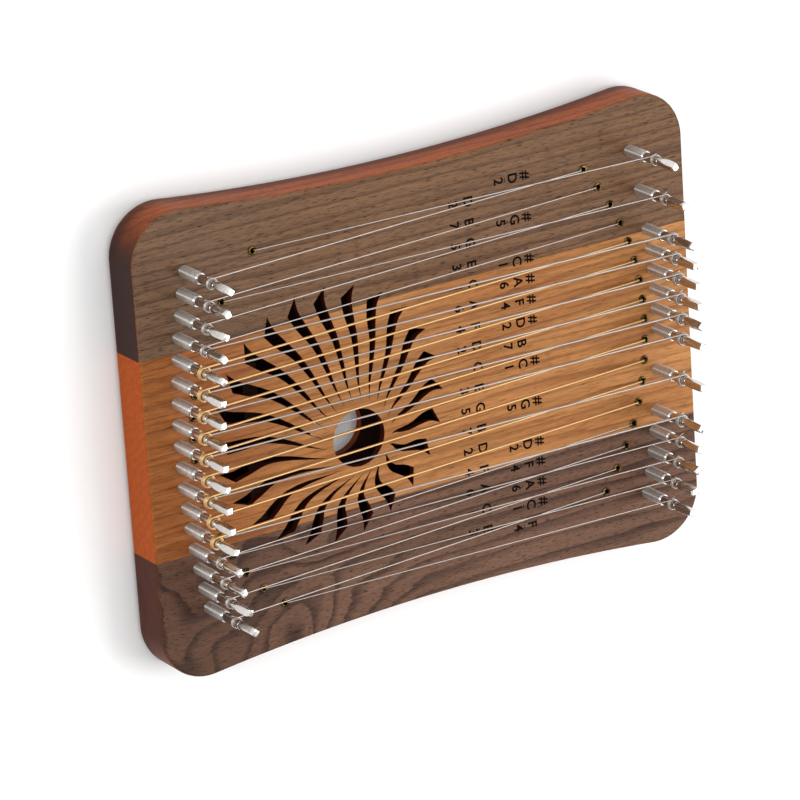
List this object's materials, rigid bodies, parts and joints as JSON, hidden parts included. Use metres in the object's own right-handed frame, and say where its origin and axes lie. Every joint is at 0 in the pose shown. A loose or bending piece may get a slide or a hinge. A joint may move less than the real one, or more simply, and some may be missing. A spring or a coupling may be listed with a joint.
{
  "type": "cross-strung zither",
  "caption": "Hand-held cross-strung chromatic zither: hollow waisted wood body with flame rosette, two crossing string planes, tuning pins at both ends.",
  "frame": {"origin": "centre of the body's bounding box in plan, on the plane of its back", "axes": "+X along the strings toward the end with fourteen pins, +Y across the strings, +Z out of the front"},
  "size_m": [0.297, 0.2222, 0.065],
  "materials": {
    "walnut": "satin oiled walnut",
    "cherry": "satin oiled cherry",
    "spruce": "planed spruce",
    "brass": "polished brass",
    "bronze_wire": "wound bronze",
    "silver_wire": "wound silver-plated wire",
    "steel_wire": "bright plain wire",
    "pin_steel": "nickel-plated steel, satin shank and polished head"
  },
  "bodies": {
    "body": {"front_walnut_upper": "walnut", "front_cherry_centre": "cherry", "front_walnut_lower": "walnut", "back_walnut_upper": "walnut", "back_cherry_centre": "cherry", "back_walnut_lower": "walnut", "back_brace_left": "spruce", "back_brace_right": "spruce", "board_brace": "spruce", "right_grommets": "brass", "left_grommets": "brass", "right_ferrules": "brass", "left_ferrules": "brass", "right_ball_ends": "brass", "left_ball_ends": "brass", "bronze_wound_strings": "bronze_wire", "plain_natural_strings": "steel_wire", "silver_wound_strings": "silver_wire", "plain_sharp_strings": "steel_wire"},
    "pin_left_01": {"pin_left_01": "pin_steel"},
    "pin_left_02": {"pin_left_02": "pin_steel"},
    "pin_left_03": {"pin_left_03": "pin_steel"},
    "pin_left_04": {"pin_left_04": "pin_steel"},
    "pin_left_05": {"pin_left_05": "pin_steel"},
    "pin_left_06": {"pin_left_06": "pin_steel"},
    "pin_left_07": {"pin_left_07": "pin_steel"},
    "pin_left_08": {"pin_left_08": "pin_steel"},
    "pin_left_09": {"pin_left_09": "pin_steel"},
    "pin_left_10": {"pin_left_10": "pin_steel"},
    "pin_left_11": {"pin_left_11": "pin_steel"},
    "pin_left_12": {"pin_left_12": "pin_steel"},
    "pin_left_13": {"pin_left_13": "pin_steel"},
    "pin_left_14": {"pin_left_14": "pin_steel"},
    "pin_left_15": {"pin_left_15": "pin_steel"},
    "pin_left_16": {"pin_left_16": "pin_steel"},
    "pin_left_17": {"pin_left_17": "pin_steel"},
    "pin_right_01": {"pin_right_01": "pin_steel"},
    "pin_right_02": {"pin_right_02": "pin_steel"},
    "pin_right_03": {"pin_right_03": "pin_steel"},
    "pin_right_04": {"pin_right_04": "pin_steel"},
    "pin_right_05": {"pin_right_05": "pin_steel"},
    "pin_right_06": {"pin_right_06": "pin_steel"},
    "pin_right_07": {"pin_right_07": "pin_steel"},
    "pin_right_08": {"pin_right_08": "pin_steel"},
    "pin_right_09": {"pin_right_09": "pin_steel"},
    "pin_right_10": {"pin_right_10": "pin_steel"},
    "pin_right_11": {"pin_right_11": "pin_steel"},
    "pin_right_12": {"pin_right_12": "pin_steel"},
    "pin_right_13": {"pin_right_13": "pin_steel"},
    "pin_right_14": {"pin_right_14": "pin_steel"}
  },
  "joints": [
    {"name": "tune_left_01", "type": "hinge", "parent": "body", "child": "pin_left_01", "pos_m": [-0.12243, 0.0821, 0.024], "axis": [0, 0, 1], "range_deg": [-180, 180]},
    {"name": "tune_left_02", "type": "hinge", "parent": "body", "child": "pin_left_02", "pos_m": [-0.12464, 0.0721, 0.024], "axis": [0, 0, 1], "range_deg": [-180, 180]},
    {"name": "tune_left_03", "type": "hinge", "parent": "body", "child": "pin_left_03", "pos_m": [-0.12656, 0.0621, 0.024], "axis": [0, 0, 1], "range_deg": [-180, 180]},
    {"name": "tune_left_04", "type": "hinge", "parent": "body", "child": "pin_left_04", "pos_m": [-0.12818, 0.0521, 0.024], "axis": [0, 0, 1], "range_deg": [-180, 180]},
    {"name": "tune_left_05", "type": "hinge", "parent": "body", "child": "pin_left_05", "pos_m": [-0.12951, 0.0421, 0.024], "axis": [0, 0, 1], "range_deg": [-180, 180]},
    {"name": "tune_left_06", "type": "hinge", "parent": "body", "child": "pin_left_06", "pos_m": [-0.13055, 0.0321, 0.024], "axis": [0, 0, 1], "range_deg": [-180, 180]},
    {"name": "tune_left_07", "type": "hinge", "parent": "body", "child": "pin_left_07", "pos_m": [-0.13131, 0.0221, 0.024], "axis": [0, 0, 1], "range_deg": [-180, 180]},
    {"name": "tune_left_08", "type": "hinge", "parent": "body", "child": "pin_left_08", "pos_m": [-0.13179, 0.0121, 0.024], "axis": [0, 0, 1], "range_deg": [-180, 180]},
    {"name": "tune_left_09", "type": "hinge", "parent": "body", "child": "pin_left_09", "pos_m": [-0.13199, 0.0021, 0.024], "axis": [0, 0, 1], "range_deg": [-180, 180]},
    {"name": "tune_left_10", "type": "hinge", "parent": "body", "child": "pin_left_10", "pos_m": [-0.13191, -0.0079, 0.024], "axis": [0, 0, 1], "range_deg": [-180, 180]},
    {"name": "tune_left_11", "type": "hinge", "parent": "body", "child": "pin_left_11", "pos_m": [-0.13155, -0.0179, 0.024], "axis": [0, 0, 1], "range_deg": [-180, 180]},
    {"name": "tune_left_12", "type": "hinge", "parent": "body", "child": "pin_left_12", "pos_m": [-0.13091, -0.0279, 0.024], "axis": [0, 0, 1], "range_deg": [-180, 180]},
    {"name": "tune_left_13", "type": "hinge", "parent": "body", "child": "pin_left_13", "pos_m": [-0.12998, -0.0379, 0.024], "axis": [0, 0, 1], "range_deg": [-180, 180]},
    {"name": "tune_left_14", "type": "hinge", "parent": "body", "child": "pin_left_14", "pos_m": [-0.12877, -0.0479, 0.024], "axis": [0, 0, 1], "range_deg": [-180, 180]},
    {"name": "tune_left_15", "type": "hinge", "parent": "body", "child": "pin_left_15", "pos_m": [-0.12727, -0.0579, 0.024], "axis": [0, 0, 1], "range_deg": [-180, 180]},
    {"name": "tune_left_16", "type": "hinge", "parent": "body", "child": "pin_left_16", "pos_m": [-0.12548, -0.0679, 0.024], "axis": [0, 0, 1], "range_deg": [-180, 180]},
    {"name": "tune_left_17", "type": "hinge", "parent": "body", "child": "pin_left_17", "pos_m": [-0.1234, -0.0779, 0.024], "axis": [0, 0, 1], "range_deg": [-180, 180]},
    {"name": "tune_right_01", "type": "hinge", "parent": "body", "child": "pin_right_01", "pos_m": [0.11812, 0.0858, 0.024], "axis": [0, 0, 1], "range_deg": [-180, 180]},
    {"name": "tune_right_02", "type": "hinge", "parent": "body", "child": "pin_right_02", "pos_m": [0.12256, 0.0658, 0.024], "axis": [0, 0, 1], "range_deg": [-180, 180]},
    {"name": "tune_right_03", "type": "hinge", "parent": "body", "child": "pin_right_03", "pos_m": [0.12579, 0.0458, 0.024], "axis": [0, 0, 1], "range_deg": [-180, 180]},
    {"name": "tune_right_04", "type": "hinge", "parent": "body", "child": "pin_right_04", "pos_m": [0.12696, 0.0358, 0.024], "axis": [0, 0, 1], "range_deg": [-180, 180]},
    {"name": "tune_right_05", "type": "hinge", "parent": "body", "child": "pin_right_05", "pos_m": [0.12785, 0.0258, 0.024], "axis": [0, 0, 1], "range_deg": [-180, 180]},
    {"name": "tune_right_06", "type": "hinge", "parent": "body", "child": "pin_right_06", "pos_m": [0.12844, 0.0158, 0.024], "axis": [0, 0, 1], "range_deg": [-180, 180]},
    {"name": "tune_right_07", "type": "hinge", "parent": "body", "child": "pin_right_07", "pos_m": [0.12875, 0.0058, 0.024], "axis": [0, 0, 1], "range_deg": [-180, 180]},
    {"name": "tune_right_08", "type": "hinge", "parent": "body", "child": "pin_right_08", "pos_m": [0.12878, -0.0042, 0.024], "axis": [0, 0, 1], "range_deg": [-180, 180]},
    {"name": "tune_right_09", "type": "hinge", "parent": "body", "child": "pin_right_09", "pos_m": [0.12796, -0.0242, 0.024], "axis": [0, 0, 1], "range_deg": [-180, 180]},
    {"name": "tune_right_10", "type": "hinge", "parent": "body", "child": "pin_right_10", "pos_m": [0.126, -0.0442, 0.024], "axis": [0, 0, 1], "range_deg": [-180, 180]},
    {"name": "tune_right_11", "type": "hinge", "parent": "body", "child": "pin_right_11", "pos_m": [0.12458, -0.0542, 0.024], "axis": [0, 0, 1], "range_deg": [-180, 180]},
    {"name": "tune_right_12", "type": "hinge", "parent": "body", "child": "pin_right_12", "pos_m": [0.12286, -0.0642, 0.024], "axis": [0, 0, 1], "range_deg": [-180, 180]},
    {"name": "tune_right_13", "type": "hinge", "parent": "body", "child": "pin_right_13", "pos_m": [0.12084, -0.0742, 0.024], "axis": [0, 0, 1], "range_deg": [-180, 180]},
    {"name": "tune_right_14", "type": "hinge", "parent": "body", "child": "pin_right_14", "pos_m": [0.11852, -0.0842, 0.024], "axis": [0, 0, 1], "range_deg": [-180, 180]}
  ]
}
